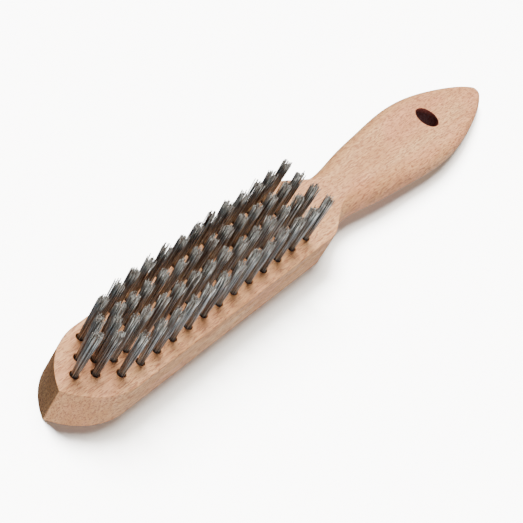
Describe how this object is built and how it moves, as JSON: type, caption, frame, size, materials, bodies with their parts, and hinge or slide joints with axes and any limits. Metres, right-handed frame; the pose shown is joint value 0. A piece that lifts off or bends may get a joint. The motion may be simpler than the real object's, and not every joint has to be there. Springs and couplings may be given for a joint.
{
  "type": "hand wire brush",
  "caption": "Hand wire brush with a flat wooden block, a pointed nose, straight rows of upright steel wire tufts and a rounded leaf-shaped handle with a hang hole.",
  "frame": {"origin": "middle of the block's length and width, on its flat back", "axes": "+X from the nose to the tail of the handle, +Z out of the bristle face, +Y to the left when looking from nose to tail"},
  "size_m": [0.29, 0.0308, 0.0366],
  "materials": {
    "wood": "plain sanded beech, no varnish",
    "bristle_wire": "drawn steel wire, slightly browned",
    "staple_wire": "drawn steel wire"
  },
  "bodies": {
    "root": {"anchor_staples": "staple_wire", "wire_tuft_nose_01": "bristle_wire", "wire_tuft_nose_02": "bristle_wire", "wire_tuft_nose_03": "bristle_wire", "wire_tuft_nose_04": "bristle_wire", "wire_tuft_nose_05": "bristle_wire", "wire_tuft_nose_06": "bristle_wire", "wire_tuft_nose_07": "bristle_wire", "wire_tuft_nose_08": "bristle_wire", "wire_tuft_row_1_no_01": "bristle_wire", "wire_tuft_row_1_no_02": "bristle_wire", "wire_tuft_row_1_no_03": "bristle_wire", "wire_tuft_row_1_no_04": "bristle_wire", "wire_tuft_row_1_no_05": "bristle_wire", "wire_tuft_row_1_no_06": "bristle_wire", "wire_tuft_row_1_no_07": "bristle_wire", "wire_tuft_row_1_no_08": "bristle_wire", "wire_tuft_row_1_no_09": "bristle_wire", "wire_tuft_row_1_no_10": "bristle_wire", "wire_tuft_row_1_no_11": "bristle_wire", "wire_tuft_row_1_no_12": "bristle_wire", "wire_tuft_row_2_no_01": "bristle_wire", "wire_tuft_row_2_no_02": "bristle_wire", "wire_tuft_row_2_no_03": "bristle_wire", "wire_tuft_row_2_no_04": "bristle_wire", "wire_tuft_row_2_no_05": "bristle_wire", "wire_tuft_row_2_no_06": "bristle_wire", "wire_tuft_row_2_no_07": "bristle_wire", "wire_tuft_row_2_no_08": "bristle_wire", "wire_tuft_row_2_no_09": "bristle_wire", "wire_tuft_row_2_no_10": "bristle_wire", "wire_tuft_row_2_no_11": "bristle_wire", "wire_tuft_row_2_no_12": "bristle_wire", "wire_tuft_row_3_no_01": "bristle_wire", "wire_tuft_row_3_no_02": "bristle_wire", "wire_tuft_row_3_no_03": "bristle_wire", "wire_tuft_row_3_no_04": "bristle_wire", "wire_tuft_row_3_no_05": "bristle_wire", "wire_tuft_row_3_no_06": "bristle_wire", "wire_tuft_row_3_no_07": "bristle_wire", "wire_tuft_row_3_no_08": "bristle_wire", "wire_tuft_row_3_no_09": "bristle_wire", "wire_tuft_row_3_no_10": "bristle_wire", "wire_tuft_row_3_no_11": "bristle_wire", "wire_tuft_row_3_no_12": "bristle_wire", "wire_tuft_row_4_no_01": "bristle_wire", "wire_tuft_row_4_no_02": "bristle_wire", "wire_tuft_row_4_no_03": "bristle_wire", "wire_tuft_row_4_no_04": "bristle_wire", "wire_tuft_row_4_no_05": "bristle_wire", "wire_tuft_row_4_no_06": "bristle_wire", "wire_tuft_row_4_no_07": "bristle_wire", "wire_tuft_row_4_no_08": "bristle_wire", "wire_tuft_row_4_no_09": "bristle_wire", "wire_tuft_row_4_no_10": "bristle_wire", "wire_tuft_row_4_no_11": "bristle_wire", "wire_tuft_row_4_no_12": "bristle_wire", "wooden_block": "wood"}
  },
  "joints": []
}
